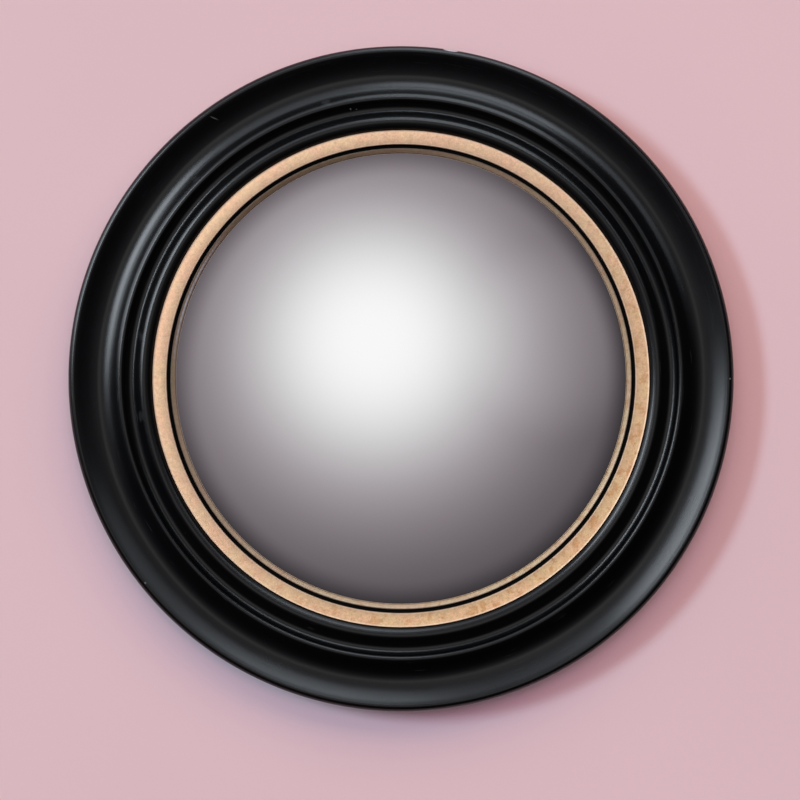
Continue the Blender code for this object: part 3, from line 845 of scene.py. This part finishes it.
def build_hanging_ring():
    """A D of wire: its straight side lies in the strap's roll, its bow points up."""
    pivot = pivot_of("hanging_ring_hinge")
    bow_r, height, corner_r = 8.0 * MM, 14.0 * MM, 2.0 * MM
    corner = (bow_r - corner_r, corner_r)
    points = arc(corner, corner_r, -90, 0, 8)
    points += arc((0.0, height - bow_r), bow_r, 0, 180, 40)
    points += arc((-corner[0], corner[1]), corner_r, 180, 270, 8)
    curve = bpy.data.curves.new("hanging_ring_fine", "CURVE")
    curve.dimensions = "3D"
    curve.bevel_depth = WIRE_R
    curve.bevel_resolution = 4
    spline = curve.splines.new("POLY")
    spline.points.add(len(points) - 1)
    for point, (x, y) in zip(spline.points, points):
        point.co = (x, y, 0.0, 1.0)
    spline.use_cyclic_u = True
    wire = helper_object("hanging_ring_wire", curve, wall_matrix(pivot.x, -pivot.y, pivot.z))
    mesh = evaluated_copy(wire, "hanging_ring_fine")
    add_piece("hanging_ring_fine", mesh, BRASS, "hanging_ring", "hanging_ring", 60.0)


BLACK_RINGS = [build_cove_ring(), build_bead_ring()]
GILT_RINGS = [build_gilt_band(), build_sight_ring()]
build_slip()
GLASS = build_glass()
build_gasket()
build_rear_cushion()
build_spacer_ring()
build_backing_board()
build_turn_buttons()
build_screws()
build_bumpers()
build_hanger_strap()
build_hanging_ring()


# Room, light and camera


def away(off_axis_deg, azimuth_deg):
    """A unit direction that leaves the mirror's front at that angle from its axis."""
    x, z = on_circle(math.sin(math.radians(off_axis_deg)), azimuth_deg)
    return Vector((x, -math.cos(math.radians(off_axis_deg)), z))


def plane_object(name, size_x, size_y, matrix, material):
    mesh = bpy.data.meshes.new(name)
    bm = bmesh.new()
    bmesh.ops.create_grid(bm, x_segments=1, y_segments=1, size=0.5)
    bmesh.ops.scale(bm, vec=(size_x, size_y, 1.0), verts=bm.verts)
    bm.to_mesh(mesh)
    bm.free()
    mesh.materials.append(material)
    obj = helper_object(name, mesh, matrix)
    return obj


def wall_paint():
    """Plain painted wall, clear to a camera that doesn't stand well in front of it."""
    material, g, shader = new_material("wall_paint")
    p = g.position()
    cloud = g.noise(p, 3.0, 2.0, 0.5)
    roller = g.noise(p, 260.0, 3.0, 0.6)
    colour = g.mix(cloud, (0.80, 0.575, 0.62), (0.88, 0.635, 0.69))
    finish_shader(g, shader, colour=colour, rough=0.85, normal=g.bump(roller, 0.15 * MM, 0.5), specular=0.2)
    settings = {"vector_type": "POINT", "convert_from": "CAMERA", "convert_to": "WORLD"}
    eye = g.node("ShaderNodeVectorTransform", {0: (0.0, 0.0, 0.0)}, **settings).outputs[0]
    _, y, _ = g.separate(g.vector("NORMALIZE", eye))
    front = g.math("LESS_THAN", y, -0.35)
    clear = g.node("ShaderNodeBsdfTransparent")
    mixed = g.node("ShaderNodeMixShader", {0: front, 1: clear.outputs[0], 2: shader.outputs[0]})
    output = next(n for n in g.tree.nodes if n.type == "OUTPUT_MATERIAL")
    g.tree.links.new(mixed.outputs[0], output.inputs["Surface"])
    return material


def build_room():
    """A wall just behind the bumpers, and a floor that the mirror neither reflects nor is lit by."""
    behind, floor_z = 0.5 * MM, -0.75
    wall = plane_object("wall", 6.0, 4.0, Matrix.Rotation(math.radians(90), 4, "X"), wall_paint())
    wall.location = (0.0, behind - WALL_H, 1.0)
    floor_paint = plain_grained("floor_paint", (0.66, 0.63, 0.62), (0.70, 0.67, 0.66), 40.0, (0.7, 0.8))
    floor = plane_object("floor", 16.0, 16.0, Matrix.Translation((0.0, 0.0, floor_z)), floor_paint)
    floor.visible_glossy = False
    floor.visible_diffuse = False
    return wall


def area_light(name, direction, distance, size, radiance, colour):
    """A soft panel facing the mirror; size is (round the axis, towards it)."""
    light = bpy.data.lights.new(name, "AREA")
    light.shape = "RECTANGLE"
    light.size, light.size_y = size
    light.color = colour
    light.energy = radiance * math.pi * size[0] * size[1]
    obj = helper_object(name, light)
    z_axis = direction.normalized()
    x_axis = Vector((-z_axis.z, 0.0, z_axis.x)).normalized()
    y_axis = z_axis.cross(x_axis)
    rotation = Matrix((x_axis, y_axis, z_axis)).transposed().to_4x4()
    obj.matrix_world = Matrix.Translation(z_axis * distance) @ rotation
    obj.visible_camera = False
    return obj


WINDOW_DISTANCE = 9.0


def window(name, off_axis, azimuth, radiance, colour):
    """A panel far off in front, given by the (from, to) angles off the axis and round it that it fills."""
    middle = sum(off_axis) / 2
    spans = ((azimuth[1] - azimuth[0]) * math.sin(math.radians(middle)), off_axis[1] - off_axis[0])
    size = [2.0 * WINDOW_DISTANCE * math.tan(math.radians(span) / 2) for span in spans]
    return area_light(name, away(middle, sum(azimuth) / 2), WINDOW_DISTANCE, size, radiance, colour)


def keep_for(light_obj, pieces):
    """Makes the panel light, and show in, only these pieces."""
    group = bpy.data.collections.new(f"{light_obj.name}_receivers")
    for piece in pieces:
        group.objects.link(piece)
    light_obj.light_linking.receiver_collection = group


def keep_off(light_obj, pieces):
    """Stops the panel from lighting, and showing in, these pieces."""
    group = bpy.data.collections.new(f"{light_obj.name}_skips")
    light_obj.light_linking.receiver_collection = group
    for piece in pieces:
        group.objects.link(piece)
    for member in group.collection_objects:
        member.light_linking.link_state = "EXCLUDE"


def build_lights():
    """Two windows, with panels that adjust what each kind of piece receives from the room.

    Not one physical set-up: most panels act on chosen pieces only. None in front shows in the glass,
    which reflects the world.
    """
    day = (0.91, 1.0, 1.09)
    keep_off(window("window", (49.3, 62.5), (134.0, 176.0), 9.5, day), [wall, GLASS])
    keep_off(window("second_window", (49.3, 61.0), (54.0, 96.0), 4.8, day), [wall, GLASS])

    # Softer surroundings of the windows, for the lacquer's sheen.
    sheen = (
        window("window_sheen", (46.5, 58.5), (136.0, 180.0), 3.3, day),
        window("second_window_sheen", (46.5, 57.0), (54.0, 96.0), 1.1, day),
        window("window_side", (62.5, 88.0), (142.0, 174.0), 4.0, day),
        window("second_window_side", (66.0, 98.0), (58.0, 100.0), 3.4, day),
        window("between_windows", (50.0, 80.0), (100.0, 132.0), 1.5, day),
        window("right_of_window", (46.5, 60.0), (22.0, 54.0), 1.6, day),
    )
    for panel in sheen:
        keep_for(panel, BLACK_RINGS)

    # The wall's cool main light casts the shadow on the right; the warm bounce colours that shadow.
    cool, warm, rosy = (0.54, 1.0, 1.13), (1.0, 0.74, 0.44), (1.0, 0.42, 0.76)
    on_wall = (
        window("window_on_wall", (46.0, 54.0), (150.0, 172.0), 31.0, cool),
        window("bounce_on_wall", (35.0, 70.0), (20.0, 140.0), 1.81, warm),
        window("near_fill_on_wall", (2.0, 25.0), (30.0, 150.0), 2.5, rosy),
    )
    for panel in on_wall:
        keep_for(panel, [wall])

    fill, lip = (1.0, 0.95, 0.90), (0.85, 1.0, 1.18)
    keep_for(window("gilt_fill", (8.0, 38.0), (260.0, 330.0), 1.95, fill), GILT_RINGS[:1])
    keep_for(window("second_gilt_fill", (8.0, 38.0), (120.0, 180.0), 1.5, fill), GILT_RINGS[:1])
    keep_for(window("lip_light", (46.0, 70.0), (50.0, 188.0), 4.1, lip), GILT_RINGS[1:])

    # Two plain panels show the back.
    white, back_size = (1.0, 1.0, 1.0), (1.2, 1.2)
    area_light("back_left", Vector((1.0, 1.0, 0.9)), 2.6, back_size, 10.0, white)
    area_light("back_right", Vector((-1.2, 0.8, 0.5)), 2.6, back_size, 7.0, white)


def build_world():
    """The room that the glass and lacquer reflect: a bright area behind the camera, fading outwards."""
    world = bpy.data.worlds.new("room")
    bpy.context.scene.world = world
    world.use_nodes = True
    g = Graph(world.node_tree)
    background = next(n for n in world.node_tree.nodes if n.type == "BACKGROUND")
    direction = g.node("ShaderNodeTexCoord").outputs["Generated"]

    def facing(off_axis_deg, azimuth_deg):
        return g.vector("DOT_PRODUCT", direction, tuple(away(off_axis_deg, azimuth_deg)), out=1)

    # The bright area, up and to the left, falls to half its level at half_deg.
    peak, half_deg, power = 0.98, 27.0, 2.85
    angle = g.math("ARCCOSINE", facing(10.0, 125.0))
    spread = g.math("POWER", g.math("DIVIDE", angle, math.radians(half_deg)), power)
    level = g.math("DIVIDE", peak, g.math("ADD", spread, 1.0))
    glow = g.combine(level, level, level)

    # A faint second area on the right.
    right = g.range(facing(33.0, 14.0), math.cos(math.radians(22)), 1.0, 0.0, 0.062)
    glow = g.vector("ADD", glow, g.combine(right, right, right))

    # Further off the axis than the glass reflects, a dim room, lighter on the windows' side.
    _, y, _ = g.separate(direction)
    in_front = g.range(g.math("MULTIPLY", y, -1.0), math.cos(math.radians(50.5)), math.cos(math.radians(43)))
    edge = g.range(facing(60.0, 125.0), 0.2, 0.95, 0.03, 0.12)
    glow = g.mix(in_front, g.combine(edge, edge, edge), glow)

    # The dimmer, the pinker.
    level, _, _ = g.separate(glow)
    green = g.range(level, 0.08, 0.75, 0.87, 1.0)
    blue = g.range(level, 0.08, 0.75, 0.955, 1.0)
    glow = g.vector("MULTIPLY", glow, g.combine(1.0, green, blue))

    backdrop = (0.80, 0.78, 0.79)
    camera_ray = g.node("ShaderNodeLightPath").outputs["Is Camera Ray"]
    g.put(background.inputs["Color"], g.mix(camera_ray, glow, backdrop))


def build_camera():
    """Square to the wall and level with the mirror's centre; the shifts set it off the picture's centre."""
    to_wall = 1.8
    data = bpy.data.cameras.new("camera")
    data.sensor_width = 36.0
    data.lens = 140.56
    data.shift_x = -0.0013
    data.shift_y = -0.02658
    camera = helper_object("camera", data)
    camera.location = (0.0, -WALL_H - to_wall, 0.0)
    camera.rotation_euler = (math.radians(90), 0.0, 0.0)
    bpy.context.scene.camera = camera


wall = build_room()
build_lights()
build_world()
build_camera()
bpy.context.scene.view_settings.view_transform = "Standard"
